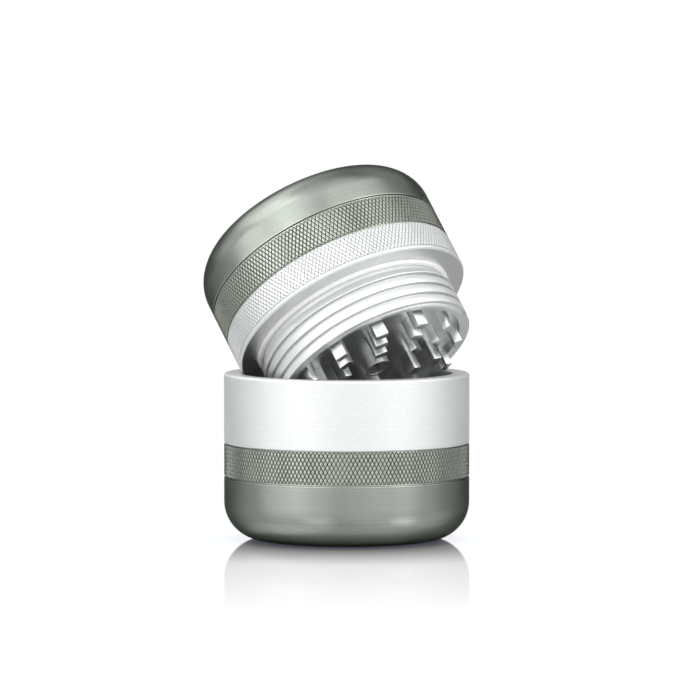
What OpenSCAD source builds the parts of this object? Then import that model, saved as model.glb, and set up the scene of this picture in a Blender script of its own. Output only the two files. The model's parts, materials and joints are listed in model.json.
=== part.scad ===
// Twist grinder: a catch cup, a grinding chamber and a toothed lid with a
// storage cap, all turned from aluminium and screwed together. The lid is drawn
// lifted off and leaning in the chamber's mouth. Millimetres, +Z up, the
// chamber's axis is the Z axis and the flat base stands on z = 0.

/* [Body] */
// Outside diameter of every turned part
body_d = 56; // [50:0.5:70]
// Height of the catch cup
cup_h = 22.1; // [18:0.1:30]
// Height of the chamber above the cup's rim
chamber_h = 15.9; // [14:0.1:24]
// Radius of the cup's rounded lower edge
cup_round = 8.8; // [4:0.1:10]
// Height of the cup's knurled band
cup_knurl_h = 7.5; // [4:0.1:12]
// Thickness of the cup's floor
cup_floor = 2.5; // [1.5:0.1:4]

/* [Lid] */
// Height of the smooth lip under the lid's knurled band
lip_h = 0.9; // [0.6:0.1:2]
// Height of the lid from its seat to the storage cap
lid_h = 7.45; // [6:0.05:12]
// Length of the threaded neck below the lid's seat
neck_l = 12.05; // [10:0.05:14]
// Depth of the toothed face inside the end of the neck
face_recess = 1.3; // [0.5:0.1:3]
// How far the teeth stand out past the end of the neck
tooth_out = 3.2; // [2:0.1:3.6]
// Teeth in the outer ring
outer_teeth = 12; // [6:1:14]
// Teeth in the middle ring
mid_teeth = 10; // [5:1:12]
// Teeth in the inner ring
inner_teeth = 6; // [3:1:8]

/* [Cap] */
// Height of the storage cap
cap_h = 20; // [14:0.5:26]
// Height of the cap's knurled band
cap_knurl_h = 7.35; // [4:0.05:10]
// Radius of the cap's rounded upper edge
cap_round = 8.3; // [4:0.1:10]

/* [Threads] */
// Pitch of the lid's neck thread
lid_pitch = 2.65; // [2:0.05:3]
// Pitch of the cup and cap threads
body_pitch = 2; // [1.5:0.1:2.5]
// Pitch of the screen ring's thread
ring_pitch = 1.5; // [1:0.1:2]

/* [Leaning lid] */
// Tilt of the lifted lid away from upright
lean = 37.7; // [36:0.1:40]
// Direction the toothed face leans toward, about the vertical
facing = -47.5; // [-180:0.5:180]
// Height of the middle of the lid's seat
lean_z = 50.1; // [49:0.05:54]
// Sideways offset of the middle of the lid's seat
lean_h = 2.1; // [0:0.05:4]

/* [Hidden] */
R = body_d / 2;
band_r = R - 0.25;          // bottom of the knurl
line_w = 0.55;              // turned line beside each knurled band
line_d = 0.45;
edge = 0.4;                 // broken edges
rim_z = cup_h + chamber_h;

// threads: root and crest radii of each pair, the female one listed second
neck_root = 22.75;  neck_crest = 23.7;
mouth_root = 24.2;  mouth_crest = 23.2;
body_root = 22.9;   body_crest = 23.65;
bore_root = 24.2;   bore_crest = 23.3;
ring_root = 20.4;   ring_crest = 20.95;
seat_root = 21.25;  seat_crest = 20.65;

// chamber: the lower neck carries the seal, the screen and the milling plate
neck_bottom = 12.5;
seal_r = 0.8;               // radius of the seals' round section
seal_mid = 23.2;
groove_root = 22.3;
seal_drop = 1.2;            // from the shoulder to the middle of the seal
plate_z = 20.4;
plate_t = 1.9;
plate_r = 21.15;
ledge_r = 19.7;
screen_z = 14.8;            // underside of the screen
screen_t = 0.9;
gasket_t = 0.8;
mouth_r = 23.95;
mouth_h = 2.4;              // plain length of the mouth above the thread

// lid
web_t = 2.4;                // thickness of the toothed face
upper_h = 8;                // length of the neck for the storage cap
store_r = 20.5;
face_h = -neck_l + face_recess;
tip_h = -neck_l - tooth_out;
hub_r = 3.2;
hub_hole = 2.4;
magnet_r = 2.3;
cap_top = lid_h + cap_h;

// one helical ridge between two heights, standing out of (or into) radius
// `root` as far as `crest`; `start` is the angle at which it crosses z = 0;
// `wide` and `flat` are half its width at the root and at the crest, in pitches
module thread(root, crest, z0, z1, pitch, start, wide = 0.3, flat = 0.12) {
    n = 36;
    steps = floor((z1 - z0) / pitch * n);
    from = ceil(z0 / pitch * n);
    out = crest > root ? 1 : -1;
    foot = wide * pitch;
    tip = flat * pitch;
    pts = [for (i = [0:steps])
        let (a = 360 * (from + i) / n + start, z = pitch * (from + i) / n,
             t = max(0.25, min(1, 4 * i / n, 4 * (steps - i) / n)),
             ri = root - out * 0.35, ro = root + (crest - root) * t)
        each [[ri * cos(a), ri * sin(a), z - out * foot], [ro * cos(a), ro * sin(a), z - out * tip],
              [ro * cos(a), ro * sin(a), z + out * tip], [ri * cos(a), ri * sin(a), z + out * foot]]];
    sides = [for (i = [0:steps - 1]) for (k = [0:3])
        [4 * i + k, 4 * i + (k + 1) % 4, 4 * i + 4 + (k + 1) % 4, 4 * i + 4 + k]];
    polyhedron(pts, concat([[3, 2, 1, 0]], sides,
        [[4 * steps, 4 * steps + 1, 4 * steps + 2, 4 * steps + 3]]), convexity = 10);
}

// turned ring, from inner to outer radius and from z0 to z1
module ring(ri, ro, z0, z1) {
    rotate_extrude($fn = 96) translate([ri, z0]) square([ro - ri, z1 - z0]);
}

// round seal
module seal(z) {
    rotate_extrude($fn = 96) translate([seal_mid, z]) circle(r = seal_r, $fn = 24);
}

// the lid's own frame: z = 0 is its seat, +Z runs up through the cap
module leaning() {
    rotate([0, 0, facing]) translate([lean_h, 0, lean_z]) rotate([0, -lean, 0]) children();
}

module base_cup() {
    band_z = cup_h - cup_knurl_h;
    bowl_round = 6;
    bore_z = 11.6;
    color([0.33, 0.36, 0.34]) union() {
        difference() {
            rotate_extrude($fn = 96) union() {
                square([R - cup_round, cup_round]);
                translate([R - cup_round, cup_round]) circle(r = cup_round, $fn = 96);
                translate([0, cup_round]) square([R, band_z - line_w - cup_round]);
                polygon([[0, band_z - line_w], [R, band_z - line_w], [R - line_d, band_z - line_w / 2],
                         [band_r, band_z], [band_r, cup_h - edge / 2], [band_r - edge / 2, cup_h], [0, cup_h]]);
            }
            rotate_extrude($fn = 96) union() {
                translate([0, cup_floor]) square([21 - bowl_round, bowl_round]);
                translate([21 - bowl_round, cup_floor + bowl_round]) circle(r = bowl_round, $fn = 72);
                translate([0, cup_floor + bowl_round]) square([21, bore_z - cup_floor]);
                polygon([[0, bore_z], [bore_root - 1.2, bore_z], [bore_root, bore_z + 1.2],
                         [bore_root, cup_h - edge], [bore_root + edge, cup_h], [bore_root + edge, cup_h + 1], [0, cup_h + 1]]);
            }
        }
        thread(bore_root, bore_crest, bore_z + 2.2, cup_h - 3, body_pitch, 180);
    }
}

module chamber_seal() {
    color([0.12, 0.12, 0.12]) seal(cup_h - seal_drop);
}

module chamber() {
    groove_z = cup_h - seal_drop - seal_r - 0.1;
    lip_z = screen_z + screen_t + gasket_t;
    color([0.86, 0.86, 0.87]) union() {
        difference() {
            rotate_extrude($fn = 96) polygon([
                [ledge_r, neck_bottom], [body_root - edge, neck_bottom], [body_root, neck_bottom + edge],
                [body_root, groove_z], [groove_root, groove_z],
                [groove_root, groove_z + 2 * seal_r + 0.2], [body_root, groove_z + 2 * seal_r + 0.2],
                [body_root, cup_h], [R - 0.25, cup_h], [R, cup_h + 0.25],
                [R, rim_z - edge], [R - edge, rim_z],
                [mouth_r + edge, rim_z], [mouth_r, rim_z - edge], [mouth_r, rim_z - mouth_h],
                [mouth_root, rim_z - mouth_h - 0.25], [mouth_root, cup_h + 2.6], [mouth_root - 0.6, cup_h + 2],
                [plate_r + 0.65, cup_h + 2], [plate_r + 0.05, cup_h + 1.4],
                [plate_r + 0.05, plate_z], [ledge_r, plate_z]]);
            // seat for the screen
            translate([0, 0, neck_bottom - 1]) cylinder(r = seat_root, h = lip_z - neck_bottom + 1, $fn = 96);
        }
        thread(body_root, body_crest, neck_bottom + 1.3, groove_z - 0.9, body_pitch, 0);
        thread(mouth_root, mouth_crest, cup_h + 4.4, rim_z - mouth_h - 1.1, lid_pitch, 180, 0.2, 0.06);
        thread(seat_root, seat_crest, neck_bottom + 0.6, screen_z - 0.5, ring_pitch, 180);
        // keys for the milling plate
        for (a = [90, 270]) rotate([0, 0, a])
            translate([plate_r - 0.85, -1, plate_z - 0.2]) cube([1.4, 2, plate_t + 0.2]);
    }
}

module milling_plate() {
    top = plate_z + plate_t;
    rows = [[16.95, 8, 0], [12.3, 6, 15], [7.6, 4, 0]];
    hole_rows = [[19.15, 18, 10], [14.65, 14, 0], [10, 9, 0]];
    color([0.8, 0.8, 0.81]) union() {
        difference() {
            translate([0, 0, plate_z]) cylinder(r = plate_r, h = plate_t, $fn = 96);
            for (w = hole_rows) for (i = [0:w[1] - 1]) rotate([0, 0, w[2] + 360 * i / w[1]])
                translate([w[0], 0, plate_z - 1]) cylinder(r = 1.5, h = plate_t + 2, $fn = 24);
            for (a = [90, 270]) rotate([0, 0, a])
                translate([plate_r - 1.15, -1.2, plate_z - 1]) cube([2, 2.4, plate_t + 2]);
            translate([0, 0, plate_z + 0.5]) cylinder(r = magnet_r + 0.05, h = plate_t, $fn = 48);
        }
        for (w = rows) for (i = [0:w[1] - 1]) rotate([0, 0, w[2] + 360 * i / w[1]])
            translate([w[0] - 0.75, -1.2, top - 0.2]) cube([1.5, 2.4, 2.7]);
    }
}

module plate_magnet() {
    color([0.7, 0.7, 0.72]) translate([0, 0, plate_z + 0.5]) cylinder(r = magnet_r, h = plate_t - 0.6, $fn = 48);
}

module screen_gasket() {
    color([0.14, 0.14, 0.14]) ring(19.75, seat_crest - 0.15, screen_z + screen_t, screen_z + screen_t + gasket_t);
}

module screen_rim() {
    z = screen_z;
    color([0.72, 0.72, 0.72]) rotate_extrude($fn = 96)
        polygon([[19.3, z], [20.35, z], [20.35, z + screen_t], [19.3, z + screen_t],
                 [19.3, z + screen_t / 2 + 0.15], [19.75, z + screen_t / 2 + 0.15],
                 [19.75, z + screen_t / 2 - 0.15], [19.3, z + screen_t / 2 - 0.15]]);
}

module screen_mesh() {
    color([0.62, 0.62, 0.6]) translate([0, 0, screen_z + screen_t / 2 - 0.15])
        cylinder(r = 19.7, h = 0.3, $fn = 96);
}

module screen_ring() {
    bottom = neck_bottom + 0.1;
    color([0.84, 0.84, 0.85]) union() {
        difference() {
            ring(18.3, ring_root, bottom, screen_z);
            for (a = [45, 135, 225, 315]) rotate([0, 0, a])
                translate([17, -1, bottom - 1]) cube([5, 2, 1.8]);
        }
        thread(ring_root, ring_crest, bottom + 0.8, screen_z - 0.6, ring_pitch, 0);
    }
}

module glide_ring() {
    color([0.95, 0.95, 0.93]) leaning() ring(neck_root + 0.1, neck_crest, -0.95, -0.03);
}

// teeth: plain blocks, flat side outward
module tooth_ring(r, n) {
    for (i = [0:n - 1]) rotate([0, 0, -35 + 360 * i / n])
        translate([r - 0.95, -1.45, tip_h]) cube([1.9, 2.9, face_h - tip_h + 0.3]);
}

module toothed_lid() {
    groove_z = lid_h + seal_drop - seal_r - 0.1;
    neck_in = 21.2;
    color([0.86, 0.86, 0.87]) leaning() union() {
        difference() {
            rotate_extrude($fn = 96) polygon([
                [0, face_h], [neck_in, face_h], [neck_in, -neck_l], [neck_root - edge, -neck_l], [neck_root, edge - neck_l],
                [neck_root, 0], [R - 0.5, 0], [R, 0.5], [R, lip_h], [band_r, lip_h + 0.25],
                [band_r, lid_h - 0.2], [band_r - 0.2, lid_h], [body_root, lid_h],
                [body_root, groove_z], [groove_root, groove_z], [groove_root, groove_z + 2 * seal_r + 0.2],
                [body_root, groove_z + 2 * seal_r + 0.2],
                [body_root, lid_h + upper_h - edge], [body_root - edge, lid_h + upper_h],
                [store_r, lid_h + upper_h], [store_r, face_h + web_t + 3], [store_r - 3, face_h + web_t], [0, face_h + web_t]]);
        }
        // the ridge is wide with a narrow groove between turns, and is cut
        // off flush with the end of the neck
        difference() {
            thread(neck_root, neck_crest, -neck_l - lid_pitch, -2, lid_pitch, 0, 0.39, 0.28);
            translate([0, 0, -neck_l - 6]) cylinder(r = R, h = 6, $fn = 96);
        }
        thread(body_root, body_crest, groove_z + 2 * seal_r + 0.9, lid_h + upper_h - 1, body_pitch, 0);
        tooth_ring(19.35, outer_teeth);
        tooth_ring(14.7, mid_teeth);
        tooth_ring(10, inner_teeth);
        // hub with an open pocket for the magnet
        ring(hub_hole, hub_r, -neck_l - 1.5, face_h + 0.3);
    }
}

module hub_magnet() {
    color([0.25, 0.25, 0.26]) leaning() translate([0, 0, face_h - 0.9]) cylinder(r = magnet_r, h = 0.9, $fn = 48);
}

module cap_seal() {
    color([0.12, 0.12, 0.12]) leaning() seal(lid_h + seal_drop);
}

module storage_cap() {
    band_z = lid_h + cap_knurl_h;
    roof = cap_top - 2.3;
    color([0.33, 0.36, 0.34]) leaning() union() {
        difference() {
            rotate_extrude($fn = 96) union() {
                polygon([[0, lid_h], [band_r - edge / 2, lid_h], [band_r, lid_h + edge / 2], [band_r, band_z],
                         [R - line_d, band_z + line_w / 2], [R, band_z + line_w], [R, cap_top - cap_round], [0, cap_top - cap_round]]);
                square([R - cap_round, cap_top]);
                translate([R - cap_round, cap_top - cap_round]) circle(r = cap_round, $fn = 96);
            }
            translate([0, 0, -cap_top]) cylinder(r = R + 1, h = cap_top + lid_h, $fn = 96);
            rotate_extrude($fn = 96) union() {
                polygon([[0, lid_h - 1], [bore_root + edge, lid_h - 1], [bore_root + edge, lid_h], [bore_root, lid_h + edge],
                         [bore_root, lid_h + upper_h + 0.6], [bore_root - 0.6, lid_h + upper_h + 1.2], [0, lid_h + upper_h + 1.2]]);
                translate([0, lid_h + upper_h]) square([bore_root - 0.6, roof - 6 - lid_h - upper_h]);
                translate([0, roof - 7]) square([bore_root - 6.6, 7]);
                translate([bore_root - 6.6, roof - 6]) circle(r = 6, $fn = 72);
            }
        }
        thread(bore_root, bore_crest, lid_h + 3, lid_h + upper_h, body_pitch, 180);
    }
}

base_cup();
chamber_seal();
chamber();
milling_plate();
plate_magnet();
screen_gasket();
screen_rim();
screen_mesh();
screen_ring();
glide_ring();
toothed_lid();
hub_magnet();
cap_seal();
storage_cap();
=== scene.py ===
# %% [markdown]
# # A twist grinder of turned aluminium
# The real grinder is four turned parts that screw together: a catch cup, a
# grinding chamber, a toothed lid and a storage cap on the lid. The lid is shown
# lifted off and leaning in the mouth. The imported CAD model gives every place
# and size, and the looks are built round it, so it is loaded first and is
# never moved.

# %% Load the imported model
import json
import math
import bmesh
import bpy
from mathutils import Matrix, Vector


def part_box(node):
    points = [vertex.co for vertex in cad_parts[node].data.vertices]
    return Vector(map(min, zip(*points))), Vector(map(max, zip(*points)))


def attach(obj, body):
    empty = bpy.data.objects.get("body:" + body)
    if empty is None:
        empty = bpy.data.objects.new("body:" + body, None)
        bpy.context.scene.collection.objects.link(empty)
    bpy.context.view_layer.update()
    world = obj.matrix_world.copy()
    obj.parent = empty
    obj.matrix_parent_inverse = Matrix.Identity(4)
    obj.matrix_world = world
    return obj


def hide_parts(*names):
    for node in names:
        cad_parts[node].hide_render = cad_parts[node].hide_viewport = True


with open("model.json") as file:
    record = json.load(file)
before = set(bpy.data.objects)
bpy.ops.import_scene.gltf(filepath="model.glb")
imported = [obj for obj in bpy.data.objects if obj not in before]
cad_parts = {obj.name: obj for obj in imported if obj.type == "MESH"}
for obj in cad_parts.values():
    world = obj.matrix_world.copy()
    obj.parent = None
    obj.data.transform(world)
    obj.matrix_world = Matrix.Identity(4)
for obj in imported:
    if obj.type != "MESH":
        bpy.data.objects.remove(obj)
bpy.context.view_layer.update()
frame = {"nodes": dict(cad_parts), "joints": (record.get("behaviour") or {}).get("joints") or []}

# %% [markdown]
# ## Sizes
# A drawing in millimetres is easier to read than one in metres, so the pieces
# are drawn in millimetres and made small as they are placed. Two spaces are
# used. The cup and chamber stand on the frame's own Z axis. The lid and cap
# have their own axis, which is the axis of the joint that the lid turns on, so
# they are drawn upright about Z with the lid's seat at height 0, and one
# matrix lays them in the mouth.

# %% Sizes read from the model
MM = 0.001


def top_of(name):
    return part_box(name)[1].z / MM


def bottom_of(name):
    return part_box(name)[0].z / MM


BODY_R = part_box("chamber")[1].x / MM
RIM_Z = top_of("chamber")
CUP_H = top_of("base_cup")
print(f"outside radius {BODY_R:.2f} mm, rim at {RIM_Z:.2f} mm, cup's rim at {CUP_H:.2f} mm")

# %% The lid's own space
joints = {j["name"]: j for j in frame["joints"]}
lid_up = Vector(joints["lid_turn"]["axis"]).normalized()
lid_side = Vector(joints["lid_tip"]["axis"]).normalized()
lid_ahead = lid_side.cross(lid_up)
LID_SPACE = Matrix.Translation(joints["lid_turn"]["pos_m"]) @ Matrix(
    (lid_ahead, lid_side, lid_up)).transposed().to_4x4()
UPRIGHT = Matrix.Identity(4)
print("the lid leans", round(math.degrees(lid_up.angle(Vector((0, 0, 1)))), 1), "degrees")

# %% [markdown]
# ## Drawing a turned part
# A lathe part is one outline swept round an axis, so each outline is a short
# list of (radius, height) points and Blender's spin does the rest. No real
# corner is sharp: the tool leaves a small round, and the round catches the
# light. A helper eases every corner of an outline before it is swept.
# Two numbers ride along on the vertices for the materials to read: how far
# along the outline a point is, which is where the tool's marks go, and
# whether it lies on a corner, which is where handling polishes the finish.

# %% Outline helpers
EASE = 0.12  # mm that a corner's round takes off each side of it
FLATTEST_CORNER = math.radians(158)  # two lines that meet flatter than this make no corner
WORN_REACH = 2.2  # the wear fades out this many rounds away from the corner


def arc(centre, radius, start, end, count=14):
    """Points on a round, from one angle to another, in degrees."""
    turn = [math.radians(start + (end - start) * i / count) for i in range(count + 1)]
    return [(centre[0] + radius * math.cos(t), centre[1] + radius * math.sin(t)) for t in turn]


def eased(outline):
    """The outline with its sharp corners rounded: (radius, height, worn) points."""
    points = []
    count = len(outline)
    for i in range(count):
        before, here, after = (Vector(outline[(i + k) % count]) for k in (-1, 0, 1))
        back, ahead = before - here, after - here
        sharp = (back.length > 1e-6 and ahead.length > 1e-6
                 and back.angle(ahead) < FLATTEST_CORNER)
        on_axis = here.x < 0.01
        if not sharp or on_axis:
            points.append((here.x, here.y, 0.0))
            continue
        cut = min(EASE, back.length * 0.4, ahead.length * 0.4)
        a, b = here + back.normalized() * cut, here + ahead.normalized() * cut
        if back.length > 3 * cut:
            points.append((*(here + back.normalized() * cut * WORN_REACH), 0.0))
        for t in (0.0, 0.33, 0.67, 1.0):
            p = a * (1 - t) ** 2 + here * 2 * t * (1 - t) + b * t ** 2
            points.append((p.x, p.y, 1.0))
        if ahead.length > 3 * cut:
            points.append((*(here + ahead.normalized() * cut * WORN_REACH), 0.0))
    return points


def sweep(bm, outline, steps=180):
    """Spins a closed outline of (radius, height, worn) points round Z."""
    along = bm.verts.layers.float.get("along") or bm.verts.layers.float.new("along")
    worn = bm.verts.layers.float.get("worn") or bm.verts.layers.float.new("worn")
    verts, travelled, last = [], 0.0, None
    for r, z, w in outline:
        v = bm.verts.new((r, 0, z))
        travelled += 0 if last is None else math.dist(last, (r, z))
        v[along], v[worn], last = travelled * MM, w, (r, z)
        verts.append(v)
    edges = [bm.edges.new((verts[i - 1], verts[i])) for i in range(len(verts))]
    bmesh.ops.spin(bm, geom=verts + edges, cent=(0, 0, 0), axis=(0, 0, 1), dvec=(0, 0, 0),
                   angle=math.tau, steps=steps, use_merge=True, use_duplicate=False)


print("a full turn is swept in 180 steps of 2 degrees")

# %% [markdown]
# ## Cutting a thread
# A screw thread is a small ridge that climbs as it goes round, which is a spin
# with a rise at every step. Spinning gets slow in a large bmesh, so each
# thread is drawn in a small one of its own and then moved into its part. A
# real thread fades out, or starts at a cone, so that it doesn't end in a wall.

# %% Thread helper
THREAD_STEPS = 72  # steps in one turn
BURIED = 0.3  # mm that the ridge's foot lies inside the part
CREST_EASE = 0.09  # mm of height that the round on the crest takes
TAPER = 1.1  # mm along the axis in which the ridge grows to its full height


def gather(bm, extra):
    """Moves everything in one bmesh into another."""
    held = bpy.data.meshes.new("held")
    extra.to_mesh(held)
    extra.free()
    bm.from_mesh(held)
    bpy.data.meshes.remove(held)


def cut_thread(bm, root, crest, low, high, pitch, start=0.0, taper=None, wide=0.30, flat=0.13,
               cut=None):
    """A right-handed helical ridge. At its free end it is trimmed by a cone, or cut off flat."""
    turns = (high - low) / pitch
    foot, tip = wide * pitch, flat * pitch
    inside = root - math.copysign(BURIED, crest - root)
    soft = crest - math.copysign(CREST_EASE, crest - root)
    section = [(inside, -foot), (root, -foot * 0.93), (soft, -tip - 0.1), (crest, -tip + 0.12),
               (crest, tip - 0.12), (soft, tip + 0.1), (root, foot * 0.93), (inside, foot)]
    ridge = bmesh.new()
    verts = [ridge.verts.new((r, 0, low + z)) for r, z in section]
    edges = [ridge.edges.new((verts[i - 1], verts[i])) for i in range(len(verts))]
    bmesh.ops.rotate(ridge, verts=verts, cent=(0, 0, 0),
                     matrix=Matrix.Rotation(math.tau * low / pitch + start, 3, "Z"))
    bmesh.ops.spin(ridge, geom=verts + edges, cent=(0, 0, 0), axis=(0, 0, 1),
                   dvec=(0, 0, pitch / THREAD_STEPS), angle=math.tau * turns,
                   steps=round(THREAD_STEPS * turns), use_merge=False, use_duplicate=False)
    bmesh.ops.holes_fill(ridge, edges=[e for e in ridge.edges if e.is_boundary], sides=0)
    for v in ridge.verts:
        r = math.hypot(v.co.x, v.co.y)
        if taper is not None:
            room = abs(v.co.z - taper) / TAPER
        else:
            room = (high - v.co.z + foot) / foot * 0.5
            if cut is None:
                room = min(room, (v.co.z - low + foot) / foot * 0.5)
        limit = inside + (crest - inside) * max(0.0, min(1.0, room))
        if (r - limit) * (crest - root) > 0:
            v.co.xy = v.co.xy * (limit / r)
    if cut is not None:
        everything = ridge.verts[:] + ridge.edges[:] + ridge.faces[:]
        halves = bmesh.ops.bisect_plane(ridge, geom=everything, dist=1e-5, plane_co=(0, 0, cut),
                                        plane_no=(0, 0, -1), clear_outer=True)
        rim = [e for e in halves["geom_cut"] if isinstance(e, bmesh.types.BMEdge)]
        bmesh.ops.holes_fill(ridge, edges=rim, sides=0)
    gather(bm, ridge)


print("a thread has", THREAD_STEPS, "steps a turn")


# %% Placing helper
def place(name, bm, space, body, node, material, smooth=34):
    """Turns a bmesh drawn in millimetres into a piece that rides on a body."""
    bmesh.ops.remove_doubles(bm, verts=bm.verts, dist=0.0005)
    bmesh.ops.recalc_face_normals(bm, faces=bm.faces)
    bmesh.ops.transform(bm, matrix=space @ Matrix.Scale(MM, 4), verts=bm.verts)
    mesh = bpy.data.meshes.new(name)
    bm.to_mesh(mesh)
    bm.free()
    mesh.shade_smooth()
    mesh.set_sharp_from_angle(angle=math.radians(smooth))
    mesh.materials.append(material)
    piece = bpy.data.objects.new(name, mesh)
    bpy.context.scene.collection.objects.link(piece)
    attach(piece, body)
    if node:
        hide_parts(node)
    print(f"{name}: {len(mesh.polygons)} faces")
    return piece


# %% [markdown]
# ## Finishes
# All the turned parts are aluminium. Anodising grows a hard clear skin on it,
# and the cup and cap are dyed a green-grey before the skin is sealed. The
# metal shows through, so the shader is metallic and its base colour is the
# dye's. What the eye reads as turned metal is the tool's spiral feed mark, a
# fine ring pattern, so the bump follows the distance along the outline. Real
# feed marks are 0.1 mm apart, which is finer than the render can show, so
# they are drawn three to four times coarser.

# %% Colour and node helpers
def linear(code):
    """An sRGB hex colour as the linear colour a shader wants."""
    parts = [int(code[i:i + 2], 16) / 255 for i in (1, 3, 5)]
    return (*(c / 12.92 if c <= 0.04045 else ((c + 0.055) / 1.055) ** 2.4 for c in parts), 1.0)


def add(tree, kind, inputs=None, **settings):
    """Adds a node, sets its settings, and fills or links its inputs."""
    made = tree.nodes.new(kind)
    for key, value in settings.items():
        setattr(made, key, value)
    for socket, value in (inputs or {}).items():
        if isinstance(value, bpy.types.NodeSocket):
            tree.links.new(value, made.inputs[socket])
        else:
            made.inputs[socket].default_value = value
    return made


def new_finish(name, **constants):
    """A material with one Principled shader, and the tree it lives in."""
    material = bpy.data.materials.new(name)
    material.use_nodes = True
    tree = material.node_tree
    shader = tree.nodes["Principled BSDF"]
    for socket, value in constants.items():
        shader.inputs[socket.replace("_", " ")].default_value = value
    return material, tree, shader


# A Mix node has a set of sockets for each kind of value: these are the colour ones.
MIX_A, MIX_B, MIX_RESULT = 6, 7, 2
# Nearly all of a noise lies between these two, so a range starts from them.
NOISE = {"From Min": 0.3, "From Max": 0.7}
GRAIN_DEPTH = 0.02 * MM
print("white is", linear("#FFFFFF"), "and middle grey", [round(c, 3) for c in linear("#808080")])


# %% Turned and anodised aluminium
def anodised(name, colour, worn_colour, roughness, marks, grain, feed=0.32, streaks=0.06,
             edge="#FFFFFF"):
    """Lathe-turned aluminium under an anodic skin: satin, with ring marks and a fine grain."""
    material, tree, shader = new_finish(name, Metallic=1.0, Specular_Tint=linear(edge))
    place_on = add(tree, "ShaderNodeTexCoord").outputs["Object"]
    travel = add(tree, "ShaderNodeAttribute", attribute_name="along").outputs["Fac"]
    worn = add(tree, "ShaderNodeAttribute", attribute_name="worn").outputs["Fac"]
    rings = add(tree, "ShaderNodeTexNoise", {
        "W": travel, "Scale": 1 / (feed * MM), "Detail": 2.0, "Roughness": 0.7},
        noise_dimensions="1D").outputs["Fac"]
    pits = add(tree, "ShaderNodeTexNoise", {
        "Vector": place_on, "Scale": 1 / (0.28 * MM), "Detail": 3.0,
        "Roughness": 0.6}).outputs["Fac"]
    cloud = add(tree, "ShaderNodeTexNoise", {
        "Vector": place_on, "Scale": 1 / (9 * MM), "Detail": 4.0,
        "Roughness": 0.6}).outputs["Fac"]
    rubbed = add(tree, "ShaderNodeMath", {0: worn, 1: cloud}, operation="MULTIPLY")
    tone = add(tree, "ShaderNodeMix", {
        "Factor": rubbed.outputs[0], MIX_A: linear(colour), MIX_B: linear(worn_colour)},
        data_type="RGBA")
    speck = add(tree, "ShaderNodeMapRange", {
        "Value": pits, **NOISE, "To Min": 0.94, "To Max": 1.05})
    streak = add(tree, "ShaderNodeMapRange", {
        "Value": rings, **NOISE, "To Min": 1 - streaks, "To Max": 1 + streaks})
    both = add(tree, "ShaderNodeMath", {
        0: speck.outputs["Result"], 1: streak.outputs["Result"]}, operation="MULTIPLY")
    shade = add(tree, "ShaderNodeVectorMath", {
        0: tone.outputs[MIX_RESULT], "Scale": both.outputs[0]}, operation="SCALE")
    tree.links.new(shade.outputs[0], shader.inputs["Base Color"])
    gloss = add(tree, "ShaderNodeMapRange", {
        "Value": cloud, **NOISE, "To Min": roughness - 0.03, "To Max": roughness + 0.04})
    tree.links.new(gloss.outputs["Result"], shader.inputs["Roughness"])
    ring_bump = add(tree, "ShaderNodeBump", {
        "Height": rings, "Strength": marks, "Distance": GRAIN_DEPTH})
    grain_bump = add(tree, "ShaderNodeBump", {
        "Height": pits, "Strength": grain, "Distance": GRAIN_DEPTH,
        "Normal": ring_bump.outputs["Normal"]})
    tree.links.new(grain_bump.outputs["Normal"], shader.inputs["Normal"])
    return material


# Light that comes in at a slant goes a longer way through the dye, so a dyed part darkens
# towards its outline.
DYED_EDGE = "#7A7D7A"
# Dyed green-grey and sealed; the dye thins on rubbed corners, which shows paler metal.
dark_metal = anodised("dark_anodised_aluminium", "#949992", "#B4B8B0", 0.31, 0.5, 0.25,
                      feed=0.42, edge=DYED_EDGE)
# The same on the knurl, where each diamond's flat is polished by the hand.
knurl_metal = anodised("dark_anodised_knurl", "#8E938A", "#BABEB5", 0.27, 0.0, 0.20,
                       edge=DYED_EDGE)
# Left undyed: nearly white metal under a clear skin, a little rougher.
clear_metal = anodised("clear_anodised_aluminium", "#D9DBDA", "#E6E7E6", 0.58, 0.20, 0.12,
                       streaks=0.025)
clear_knurl = anodised("clear_anodised_knurl", "#D2D4D3", "#F0F1F0", 0.40, 0.0, 0.10)
print("anodised finishes:", [m.name for m in bpy.data.materials])


# %% Milled faces and plating
def milled(name, colour, roughness):
    """End-milled metal: fine crossed arcs too small to follow, so a directionless grain."""
    material, tree, shader = new_finish(name, Metallic=1.0)
    place_on = add(tree, "ShaderNodeTexCoord").outputs["Object"]
    grain = add(tree, "ShaderNodeTexNoise", {
        "Vector": place_on, "Scale": 1 / (0.35 * MM), "Detail": 4.0}).outputs["Fac"]
    cloud = add(tree, "ShaderNodeTexNoise", {
        "Vector": place_on, "Scale": 1 / (5 * MM), "Detail": 3.0}).outputs["Fac"]
    tone = add(tree, "ShaderNodeMapRange", {
        "Value": grain, **NOISE, "To Min": 0.86, "To Max": 1.04})
    shade = add(tree, "ShaderNodeVectorMath", {
        0: linear(colour)[:3], "Scale": tone.outputs["Result"]}, operation="SCALE")
    tree.links.new(shade.outputs[0], shader.inputs["Base Color"])
    gloss = add(tree, "ShaderNodeMapRange", {
        "Value": cloud, **NOISE, "To Min": roughness - 0.05, "To Max": roughness + 0.06})
    tree.links.new(gloss.outputs["Result"], shader.inputs["Roughness"])
    bump = add(tree, "ShaderNodeBump", {
        "Height": grain, "Strength": 0.25, "Distance": GRAIN_DEPTH})
    tree.links.new(bump.outputs["Normal"], shader.inputs["Normal"])
    return material


# Milled aluminium on the teeth and the floor between them.
milled_metal = milled("clear_anodised_milled", "#DADCDB", 0.36)
# The milling plate and the screen ring, a darker grey as painted shade for their place deep inside
# the chamber.
plate_metal_painted_shade = milled("milled_plate_painted_shade", "#B4B7B6", 0.26)
# Stainless wire and its pressed rim.
steel = milled("stainless_steel", "#B9B6B0", 0.28)
# Black nickel plate on the magnets.
nickel = milled("nickel_plate", "#4A4845", 0.30)
print("finishes so far:", len(bpy.data.materials))


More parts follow.
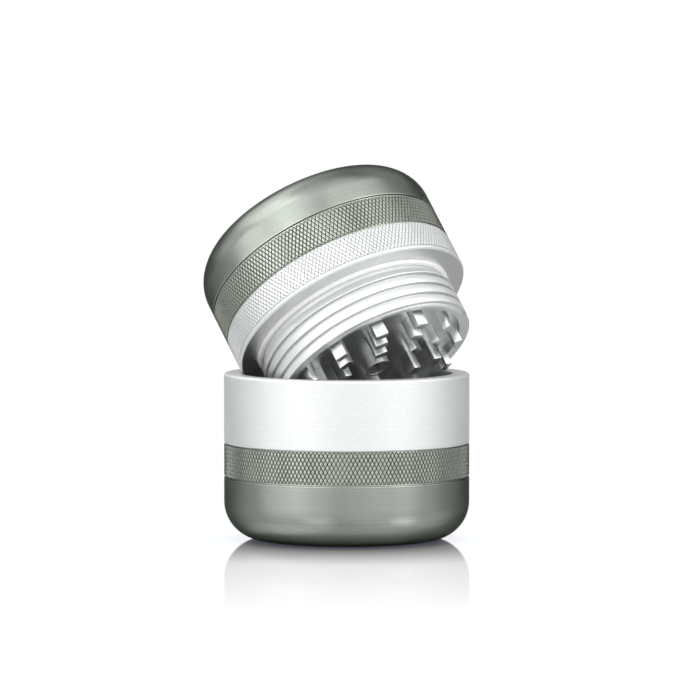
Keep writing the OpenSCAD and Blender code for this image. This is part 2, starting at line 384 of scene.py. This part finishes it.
# %% Rubber and nylon
def moulded(name, colour, roughness, grain_mm, depth):
    """A moulded soft part: even colour, a fine grain from the tool and slight clouding."""
    material, tree, shader = new_finish(name)
    place_on = add(tree, "ShaderNodeTexCoord").outputs["Object"]
    grain = add(tree, "ShaderNodeTexNoise", {
        "Vector": place_on, "Scale": 1 / (grain_mm * MM), "Detail": 3.0}).outputs["Fac"]
    tone = add(tree, "ShaderNodeMapRange", {
        "Value": grain, **NOISE, "To Min": 0.9, "To Max": 1.05})
    shade = add(tree, "ShaderNodeVectorMath", {
        0: linear(colour)[:3], "Scale": tone.outputs["Result"]}, operation="SCALE")
    tree.links.new(shade.outputs[0], shader.inputs["Base Color"])
    gloss = add(tree, "ShaderNodeMapRange", {
        "Value": grain, "To Min": roughness - 0.06, "To Max": roughness + 0.06})
    tree.links.new(gloss.outputs["Result"], shader.inputs["Roughness"])
    bump = add(tree, "ShaderNodeBump", {
        "Height": grain, "Strength": 0.3, "Distance": depth * MM})
    tree.links.new(bump.outputs["Normal"], shader.inputs["Normal"])
    return material


# Black nitrile seals, and the white nylon glide ring.
rubber = moulded("black_nitrile_rubber", "#17181A", 0.55, 0.4, 0.03)
nylon = moulded("white_nylon", "#ECECEA", 0.42, 0.5, 0.02)
print("finishes:", len(bpy.data.materials))

# %% [markdown]
# ## Diamond knurling
# A knurling tool presses two sets of slanted grooves into the metal, and
# diamond-shaped flats are left between them. To get the same pattern, a flat
# grid is poked so that each square has a centre, and the squares' own edges
# are dissolved: what is left is diamonds. Each diamond is inset and lifted,
# which leaves a groove round it, and the flat sheet is rolled into a band.

# %% The knurled band
KNURL_COUNT = 184  # diamonds round, which makes each 0.96 mm wide
KNURL_SHAPE = 1.82  # how many times as high as wide a diamond is
KNURL_DEPTH = 0.24
KNURL_LOW = BODY_R - KNURL_DEPTH - 0.03
FLANK, CROWN = 0.085, 0.16  # mm from groove to shoulder, and from shoulder to flat


def knurled_band(name, low, high, space, body, material):
    """Diamonds round a band from one height to another, their crowns at the outside radius."""
    cell = math.tau * BODY_R / KNURL_COUNT
    rows = round((high - low) / (cell * KNURL_SHAPE))
    bm = bmesh.new()
    worn = bm.verts.layers.float.new("worn")
    bmesh.ops.create_grid(bm, x_segments=KNURL_COUNT, y_segments=rows, size=0.5)
    for v in bm.verts:
        turn, rise = v.co.x * math.tau, v.co.y + 0.5
        v.co = (KNURL_LOW * math.cos(turn), KNURL_LOW * math.sin(turn), low + rise * (high - low))
    bmesh.ops.remove_doubles(bm, verts=bm.verts, dist=0.01)
    squares = [e for e in bm.edges if not e.is_boundary]
    centres = bmesh.ops.poke(bm, faces=bm.faces[:])["verts"]
    for v in centres:
        v.co.xy = v.co.xy.normalized() * KNURL_LOW
    bmesh.ops.dissolve_edges(bm, edges=squares, use_verts=False)
    bmesh.ops.recalc_face_normals(bm, faces=bm.faces)
    if sum(f.normal.dot(Vector((*f.calc_center_median().xy, 0))) for f in bm.faces) < 0:
        bmesh.ops.reverse_faces(bm, faces=bm.faces)
    border = [e for e in bm.edges if e.is_boundary]
    flats = bm.faces[:]
    for thickness, lift in ((FLANK, 0.8), (CROWN, 0.2)):
        bmesh.ops.inset_individual(bm, faces=flats, thickness=thickness, depth=KNURL_DEPTH * lift,
                                   use_even_offset=True)
    for f in flats:
        for v in f.verts:
            v[worn] = 1.0
    skirt = bmesh.ops.extrude_edge_only(bm, edges=[e for e in border if e.is_valid])
    for v in [v for v in skirt["geom"] if isinstance(v, bmesh.types.BMVert)]:
        v.co.xy = v.co.xy.normalized() * (KNURL_LOW - 0.3)
    print(f"{name}: {KNURL_COUNT} diamonds round, {rows} high")
    return place(name, bm, space, body, None, material, smooth=12)


# %% [markdown]
# ## The catch cup
# The cup is one dyed turning: a flat foot, a big round, a smooth wall, a dark
# line cut beside the knurl, and the knurled band itself. Inside is a round
# cornered bowl below a threaded bore. Inner and outer walls belong to one
# outline, so the wall has its real thickness wherever it is seen.

# %% Catch cup
CUP_ROUND = 8.8  # radius of the big round at the foot
CUP_BAND = 14.6  # height of the line below the knurl
FLOOR_Z = 2.5
BORE_R = 24.2
SHELL_PITCH, SHELL_CREST_R = 2.0, 23.3  # the fine thread of the cup, and of the cap too
KNURL_BACK = KNURL_LOW - 0.02  # the shell's own radius behind the knurl
cup = bmesh.new()
sweep(cup, eased(
    [(0, 0), (BODY_R - CUP_ROUND, 0)]
    + arc((BODY_R - CUP_ROUND, CUP_ROUND), CUP_ROUND, -86, 0, 18)
    + [(BODY_R, CUP_BAND - 0.34), (BODY_R - 0.45, CUP_BAND - 0.28), (KNURL_LOW - 0.2, CUP_BAND),
       (KNURL_BACK, CUP_H - 0.12), (BODY_R - 0.3, CUP_H), (BORE_R + 0.3, CUP_H),
       (BORE_R, CUP_H - 0.4), (BORE_R, 12.8), (BORE_R - 1.2, 11.6), (21, 11.6)]
    + arc((15, 8.5), 6, 0, -90, 10) + [(0, FLOOR_Z)]))
cut_thread(cup, BORE_R, SHELL_CREST_R, 13.9, CUP_H - 3.2, SHELL_PITCH, math.pi)
place("cup_shell", cup, UPRIGHT, "cup", "base_cup", dark_metal)
knurled_band("cup_knurl", CUP_BAND + 0.05, CUP_H - 0.12, UPRIGHT, "cup",
             knurl_metal)

# %% [markdown]
# ## The grinding chamber
# The chamber is the bright ring between the cup and the lid. Below its
# shoulder is the neck that screws into the cup, with a groove for the seal.
# Inside are the seat for the screen, the ledge that carries the milling plate
# and the thread for the lid.

# %% Chamber
NECK_LOW = bottom_of("chamber")
LEDGE_Z = bottom_of("milling_plate")
SEAT_TOP = top_of("screen_gasket")
SEAL_MID = (top_of("chamber_seal") + bottom_of("chamber_seal")) / 2
SEAL_HALF = 0.9  # half the width of a seal's groove
NECK_R, GROOVE_R, NECK_CREST_R = 22.9, 22.3, 23.65  # the same for the chamber's and the lid's neck
SCREEN_BORE_R, MOUTH_R, MOUTH_ROOT_R = 21.25, 23.95, 24.2
LID_PITCH = 2.65
chamber = bmesh.new()
sweep(chamber, eased(
    [(SCREEN_BORE_R, NECK_LOW), (22.5, NECK_LOW), (NECK_R, NECK_LOW + 0.4),
     (NECK_R, SEAL_MID - SEAL_HALF), (GROOVE_R, SEAL_MID - SEAL_HALF),
     (GROOVE_R, SEAL_MID + SEAL_HALF), (NECK_R, SEAL_MID + SEAL_HALF), (NECK_R, CUP_H),
     (BODY_R - 0.2, CUP_H), (BODY_R, CUP_H + 0.2), (BODY_R, RIM_Z - 0.35), (BODY_R - 0.35, RIM_Z),
     (24.3, RIM_Z), (MOUTH_R, RIM_Z - 0.35), (MOUTH_R, RIM_Z - 2.4),
     (MOUTH_ROOT_R, RIM_Z - 2.65), (MOUTH_ROOT_R, 24.7), (23.6, 24.1), (21.8, 24.1), (21.2, 23.5),
     (21.2, LEDGE_Z), (19.7, LEDGE_Z), (19.7, SEAT_TOP), (SCREEN_BORE_R, SEAT_TOP)]))
cut_thread(chamber, NECK_R, NECK_CREST_R, NECK_LOW + 1.4, SEAL_MID - 2.0, SHELL_PITCH,
           taper=NECK_LOW + 0.3)
cut_thread(chamber, MOUTH_ROOT_R, 23.2, 26.6, RIM_Z - 3.6, LID_PITCH, math.pi,
           wide=0.2, flat=0.08)
cut_thread(chamber, SCREEN_BORE_R, 20.65, NECK_LOW + 0.7, 14.2, 1.5, math.pi)
for half_turns in (0.5, 1.5):  # two keys that stop the milling plate from turning
    key = bmesh.ops.create_cube(chamber, size=1.0)["verts"]
    bmesh.ops.scale(chamber, vec=(1.4, 2.0, 2.1), verts=key)
    bmesh.ops.translate(chamber, vec=(21.0, 0, LEDGE_Z + 0.85), verts=key)
    bmesh.ops.rotate(chamber, verts=key, cent=(0, 0, 0),
                     matrix=Matrix.Rotation(math.pi * half_turns, 3, "Z"))
place("chamber_shell", chamber, UPRIGHT, "chamber_body", "chamber", clear_metal)

# %% [markdown]
# ## The toothed lid
# The lid's neck carries a coarse rounded thread, and its sunken end face has
# rings of square teeth that pass between those of the milling plate. The
# turned shape is one sweep. A tooth is one bevelled block, drawn once for
# each ring and spun round as copies.

# %% Lid
LID_H = 7.45  # height of the lid's knurled flange
NECK_END = -12.05
FACE_H = NECK_END + 1.3  # the sunken face with the teeth
TOOTH_TIP = NECK_END - 3.2
FACE_R, LID_ROOT_R = 21.2, 22.75
lid = bmesh.new()
sweep(lid, eased(
    [(0, FACE_H), (FACE_R, FACE_H), (FACE_R, NECK_END), (22.35, NECK_END),
     (LID_ROOT_R, NECK_END + 0.4), (LID_ROOT_R, 0), (BODY_R - 0.4, 0), (BODY_R, 0.4),
     (BODY_R, 0.9), (KNURL_BACK, 1.12), (KNURL_BACK, LID_H - 0.2), (BODY_R - 0.35, LID_H),
     (NECK_R, LID_H), (NECK_R, 7.75), (GROOVE_R, 7.75), (GROOVE_R, 9.55), (NECK_R, 9.55),
     (NECK_R, 15.05), (22.5, 15.45), (20.5, 15.45), (20.5, -5.35), (17.5, -8.35), (0, -8.35)]))
for face in lid.faces:  # the end face and the flange's underside are milled
    spot = face.calc_center_median()
    reach = math.hypot(spot.x, spot.y)
    on_end = spot.z < FACE_H + 0.06 and reach < FACE_R - 0.05
    under_flange = abs(spot.z) < 0.03 and reach > LID_ROOT_R - 0.05
    if on_end or under_flange:
        face.material_index = 1
cut_thread(lid, LID_ROOT_R, 23.7, NECK_END - LID_PITCH, -2.0, LID_PITCH, wide=0.39, flat=0.30,
           cut=NECK_END + 0.02)
cut_thread(lid, NECK_R, NECK_CREST_R, 10.3, 14.4, SHELL_PITCH, taper=15.3)
lid_shell = place("lid_shell", lid, LID_SPACE, "lid", "toothed_lid",
                  clear_metal)
lid_shell.data.materials.append(milled_metal)
knurled_band("lid_knurl", 1.1, LID_H - 0.15, LID_SPACE, "lid", clear_knurl)

# %% Teeth and hub
TOOTH_WIDE, TOOTH_LONG = 1.9, 2.9  # across the ring, and along it
FIRST_TOOTH = Matrix.Rotation(math.radians(-35), 3, "Z")
HUB_R, HUB_HOLE_R, HUB_END = 3.2, 2.4, NECK_END - 1.5


def one_tooth(bm, radius):
    """A square tooth that stands on the sunken face."""
    block = bmesh.ops.create_cube(bm, size=1.0)["verts"]
    length = FACE_H - TOOTH_TIP + 0.2
    bmesh.ops.scale(bm, vec=(TOOTH_WIDE, TOOTH_LONG, length), verts=block)
    bmesh.ops.translate(bm, vec=(radius, 0, TOOTH_TIP + length / 2), verts=block)
    bmesh.ops.bevel(bm, geom=bm.edges[:], offset=0.13, offset_type="OFFSET", segments=2,
                    profile=0.5, affect="EDGES", material=-1)
    bmesh.ops.rotate(bm, verts=bm.verts, cent=(0, 0, 0), matrix=FIRST_TOOTH)


teeth = bmesh.new()
for radius, count in ((19.35, 12), (14.7, 10), (10.0, 6)):
    ring = bmesh.new()
    one_tooth(ring, radius)
    bmesh.ops.spin(ring, geom=ring.verts[:] + ring.edges[:] + ring.faces[:], cent=(0, 0, 0),
                   axis=(0, 0, 1), dvec=(0, 0, 0), angle=math.tau * (count - 1) / count,
                   steps=count - 1, use_merge=False, use_duplicate=True)
    gather(teeth, ring)
place("lid_teeth", teeth, LID_SPACE, "lid", None, milled_metal)

hub = bmesh.new()
sweep(hub, eased([(HUB_HOLE_R, FACE_H + 0.1), (HUB_HOLE_R, HUB_END), (HUB_R, HUB_END),
                  (HUB_R, FACE_H + 0.1)]), steps=64)
place("lid_hub", hub, LID_SPACE, "lid", None, milled_metal)

# %% [markdown]
# ## The storage cap
# The cap is the cup's twin turned over: the same dyed metal, a knurled band,
# the dark line, and a domed top with a big round. The space under it is open
# to the store in the lid.

# %% Storage cap
CAP_ROUND = 8.3
CAP_BAND = LID_H + 7.35  # height of the line above the knurl
CAP_TOP = LID_H + 20
ROOF = CAP_TOP - 2.3
cap = bmesh.new()
sweep(cap, eased(
    [(BORE_R, LID_H + 0.4), (BORE_R + 0.35, LID_H), (BODY_R - 0.35, LID_H),
     (KNURL_BACK, LID_H + 0.12), (KNURL_LOW - 0.2, CAP_BAND), (BODY_R - 0.45, CAP_BAND + 0.28),
     (BODY_R, CAP_BAND + 0.34)]
    + arc((BODY_R - CAP_ROUND, CAP_TOP - CAP_ROUND), CAP_ROUND, 0, 88, 20)
    + [(0, CAP_TOP), (0, ROOF)]
    + arc((17.6, ROOF - 6), 6, 90, 0, 10)
    + [(23.6, 16.7), (BORE_R, 16.1)]))
cut_thread(cap, BORE_R, SHELL_CREST_R, LID_H + 3.1, 15.3, SHELL_PITCH, math.pi)
place("cap_shell", cap, LID_SPACE, "cap", "storage_cap", dark_metal)
knurled_band("cap_knurl", LID_H + 0.12, CAP_BAND - 0.05, LID_SPACE, "cap",
             knurl_metal)

# %% [markdown]
# ## The woven screen
# The screen that sifts the fine grounds is plain-woven wire: each wire goes
# over one and under the next. Every wire is a wavy line with a round section,
# which a curve with a bevel gives, and the curve is then made a mesh. Real
# screens have wires about 0.15 mm apart, too fine to draw, so these are six
# times coarser.

# %% Woven screen
SCREEN_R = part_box("screen_mesh")[1].x / MM
SCREEN_Z = (top_of("screen_mesh") + bottom_of("screen_mesh")) / 2
WIRE_GAP, WIRE_R = 0.9, 0.12
WAVE = 0.9  # how far a wire swings up and down, in wire radii
weave = bpy.data.curves.new("weave", "CURVE")
weave.dimensions, weave.bevel_depth, weave.bevel_resolution = "3D", WIRE_R * MM, 0
wires = int(SCREEN_R / WIRE_GAP)
for crossways in (0, 1):
    for row in range(-wires, wires + 1):
        offset = row * WIRE_GAP
        half = math.sqrt(SCREEN_R ** 2 - offset ** 2)
        beads = int(half / WIRE_GAP)
        stops = [-half] + [i * WIRE_GAP for i in range(-beads, beads + 1)] + [half]
        line = weave.splines.new("POLY")
        line.points.add(len(stops) - 1)
        for point, travel in zip(line.points, stops):
            side = -1 if (round(travel / WIRE_GAP) + row + crossways) % 2 else 1
            x, y = (offset, travel) if crossways else (travel, offset)
            point.co = (x * MM, y * MM, (SCREEN_Z + side * WIRE_R * WAVE) * MM, 1)
holder = bpy.data.objects.new("weave", weave)
bpy.context.scene.collection.objects.link(holder)
woven = bmesh.new()
woven.from_mesh(holder.to_mesh())
bmesh.ops.scale(woven, vec=(1 / MM,) * 3, verts=woven.verts)
bpy.data.objects.remove(holder)
place("woven_screen", woven, UPRIGHT, "screen", "screen_mesh", steel, smooth=60)

# %% [markdown]
# ## Parts kept from the model
# The seals, the gasket, the milling plate, the screen's rim and ring, the
# magnets and the glide ring have the right shape as they come, so they keep
# it and only get their finish. Their patterns read Object coordinates.

# %% Finishes on the kept parts
# The milling plate and the screen ring get the darker milled finish, whose colour is painted shade
# for lying deep in the chamber.
kept = {"chamber_seal": rubber, "cap_seal": rubber, "screen_gasket": rubber,
        "milling_plate": plate_metal_painted_shade, "screen_ring": plate_metal_painted_shade, "screen_rim": steel,
        "plate_magnet": nickel, "hub_magnet": nickel, "glide_ring": nylon}
for name, finish in kept.items():
    part = frame["nodes"][name]
    part.data.materials.clear()
    part.data.materials.append(finish)
print("kept parts:", sorted(kept))

# %% [markdown]
# ## Table, light and camera
# The grinder stands on a white glossy table in a white surround. Bare metal
# shows what it reflects, so a white surround would wash it out. The camera
# sees the table and the surround burnt out to white, and the metal sees them
# as grey: a Light Path node tells the two apart. The brightness on the metal
# then comes from many small soft boxes. Each makes one stripe of the
# reflection, so the stripes can be set one by one, which is how a studio
# lights bare metal.

# %% Table
TABLE_SIDE = 6
bpy.ops.mesh.primitive_plane_add(size=TABLE_SIDE)
table = bpy.context.object
table.name = "table"
white_table, tree, shader = new_finish("white_acrylic", Roughness=0.5)
shader.inputs["Base Color"].default_value = linear("#98989A")
# For the camera the grinder's reflection is strongest near the foot and fades outwards.
spot = add(tree, "ShaderNodeTexCoord").outputs["Object"]
away = add(tree, "ShaderNodeVectorMath", {0: spot}, operation="LENGTH").outputs["Value"]
near = add(tree, "ShaderNodeMapRange", {
    "Value": away, "From Min": 0.03, "From Max": 0.155, "To Min": 0.36, "To Max": 0.0})
foot = add(tree, "ShaderNodeMapRange", {
    "Value": away, "From Min": 0.028, "From Max": 0.06, "To Min": 0.45, "To Max": 0.0})
polish = add(tree, "ShaderNodeMath", {
    0: near.outputs["Result"], 1: foot.outputs["Result"]}, operation="ADD")
haze = add(tree, "ShaderNodeTexNoise", {"Vector": spot, "Scale": 120.0})
mist = add(tree, "ShaderNodeMapRange", {
    "Value": haze.outputs["Fac"], "To Min": 0.03, "To Max": 0.06})
mirror = add(tree, "ShaderNodeBsdfAnisotropic", {
    "Color": (0.96, 0.97, 1.0, 1.0), "Roughness": mist.outputs["Result"]})
# A thin contact shadow lies under the round of the foot.
cover = add(tree, "ShaderNodeAmbientOcclusion", {"Distance": 0.004}, samples=8)
shadow = add(tree, "ShaderNodeMix", {
    "Factor": cover.outputs["AO"], MIX_A: linear("#8E8CA0"), MIX_B: linear("#FFFFFF")},
    data_type="RGBA")
white = add(tree, "ShaderNodeEmission", {"Color": shadow.outputs[MIX_RESULT], "Strength": 1.02})
seen_table = add(tree, "ShaderNodeMixShader", {
    "Fac": polish.outputs[0], 1: white.outputs[0], 2: mirror.outputs[0]})
# For the metal it is a pale grey with a sheen.
sheen = add(tree, "ShaderNodeBsdfAnisotropic", {"Color": (1.0, 1.0, 1.0, 1.0), "Roughness": 0.15})
lit_table = add(tree, "ShaderNodeMixShader", {
    "Fac": 0.33, 1: shader.outputs[0], 2: sheen.outputs[0]})
seen = add(tree, "ShaderNodeLightPath").outputs["Is Camera Ray"]
surface = add(tree, "ShaderNodeMixShader", {
    "Fac": seen, 1: lit_table.outputs[0], 2: seen_table.outputs[0]})
tree.links.new(surface.outputs[0], tree.nodes["Material Output"].inputs["Surface"])
table.data.materials.append(white_table)
print("table:", TABLE_SIDE, "m square")

# %% Card behind the grinder
# Only reflections see it: the table's reflection stays white round the grinder's own.
CARD_WIDE, CARD_HIGH = 0.6, 0.32
bpy.ops.mesh.primitive_plane_add(size=1, location=(0, 1.3, 0.17), rotation=(math.pi / 2, 0, 0))
card = bpy.context.object
card.name = "white_card"
card.scale = (CARD_WIDE, CARD_HIGH, 1)
card_white, tree, shader = new_finish("lit_card")
lit = add(tree, "ShaderNodeEmission", {"Color": (1.0, 1.0, 1.0, 1.0), "Strength": 1.02})
tree.links.new(lit.outputs[0], tree.nodes["Material Output"].inputs["Surface"])
card.data.materials.append(card_white)
card.visible_camera = card.visible_diffuse = card.visible_shadow = False
print("card:", CARD_WIDE, "by", CARD_HIGH, "m")

# %% Surround
world = bpy.data.worlds.new("studio")
bpy.context.scene.world = world
world.use_nodes = True
tree = world.node_tree
seen = add(tree, "ShaderNodeLightPath").outputs["Is Camera Ray"]
around = add(tree, "ShaderNodeBackground", {"Color": (0.97, 0.98, 1.0, 1.0), "Strength": 0.235})
beyond = add(tree, "ShaderNodeBackground", {"Color": (1.0, 1.0, 1.0, 1.0), "Strength": 1.05})
both = add(tree, "ShaderNodeMixShader", {"Fac": seen, 1: around.outputs[0], 2: beyond.outputs[0]})
tree.links.new(both.outputs[0], tree.nodes["World Output"].inputs["Surface"])
print("surround: white for the camera, grey for the metal")

# %% Soft boxes
MIDDLE = Vector((0, 0, 0.04))  # the boxes face the middle of the grinder


def soft_box(name, azimuth, rise, away, wide, tall, power):
    """A rectangular light that faces the grinder; azimuth 0 is the camera's side."""
    light = bpy.data.lights.new(name, "AREA")
    light.shape, light.size, light.size_y, light.energy = "RECTANGLE", wide, tall, power
    lamp = bpy.data.objects.new(name, light)
    a, e = math.radians(azimuth), math.radians(rise)
    out = Vector((math.sin(a) * math.cos(e), -math.cos(a) * math.cos(e), math.sin(e)))
    lamp.location = MIDDLE + out * away
    lamp.rotation_mode = "QUATERNION"
    lamp.rotation_quaternion = out.to_track_quat("Z", "Y")
    lamp.visible_camera = False
    bpy.context.scene.collection.objects.link(lamp)


# Each row is {azimuth: power in watts}.
low_boxes = {-100: 0.075, -72: 0.41, -48: 0.54, -26: 0.31, -6: 0.17, 14: 0.25, 34: 0.3, 56: 0.41,
             80: 0.17}
for azimuth, power in low_boxes.items():
    soft_box(f"low_box_{azimuth}", azimuth, 12, 0.55, 0.22, 0.30, power)
high_boxes = {-80: 0.88, -40: 0.57, 0: 0.05, 40: 0.33, 80: 0.49}
for azimuth, power in high_boxes.items():
    soft_box(f"high_box_{azimuth}", azimuth, 48, 0.6, 0.35, 0.35, power)
strips = {-30: 0.28, 60: 0.59}
for azimuth, power in strips.items():
    soft_box(f"strip_{azimuth}", azimuth, 30, 0.55, 0.22, 0.16, power)
# The rest is {(azimuth, rise): power}: two by the camera, two at the sides, three behind the
# cap's left shoulder, and one each for the top, the right shoulder and the back.
fills = {(-20, 35): 0.16, (20, 35): 0.4, (-110, 20): 0.2, (100, 25): 0.47, (-120, 45): 0.6,
         (-150, 50): 0.3, (-140, 25): 0.06, (40, 65): 0.19, (150, 44): 0.16, (180, 35): 0.05}
for (azimuth, rise), power in fills.items():
    soft_box(f"fill_{azimuth}_{rise}", azimuth, rise, 0.62, 0.35, 0.35, power)
soft_box("top_box", -20, 80, 0.75, 0.6, 0.6, 0.84)
print("soft boxes:", len(low_boxes) + len(high_boxes) + len(strips) + len(fills) + 1)

# %% Camera
CAMERA_SPOT = Vector((0, -1.1967, 0.1189))
CAMERA_TARGET = Vector((-0.00016, 0.00104, 0.04402))
camera = bpy.data.objects.new("camera", bpy.data.cameras.new("camera"))
bpy.context.scene.collection.objects.link(camera)
bpy.context.scene.camera = camera
camera.data.sensor_width = 36
camera.data.lens = 273.5
camera.location = CAMERA_SPOT
camera.rotation_mode = "QUATERNION"
camera.rotation_quaternion = (CAMERA_TARGET - CAMERA_SPOT).to_track_quat("-Z", "Y")
bpy.context.scene.view_settings.view_transform = "Standard"
print(f"camera {(CAMERA_TARGET - CAMERA_SPOT).length:.2f} m away with a {camera.data.lens} mm lens")
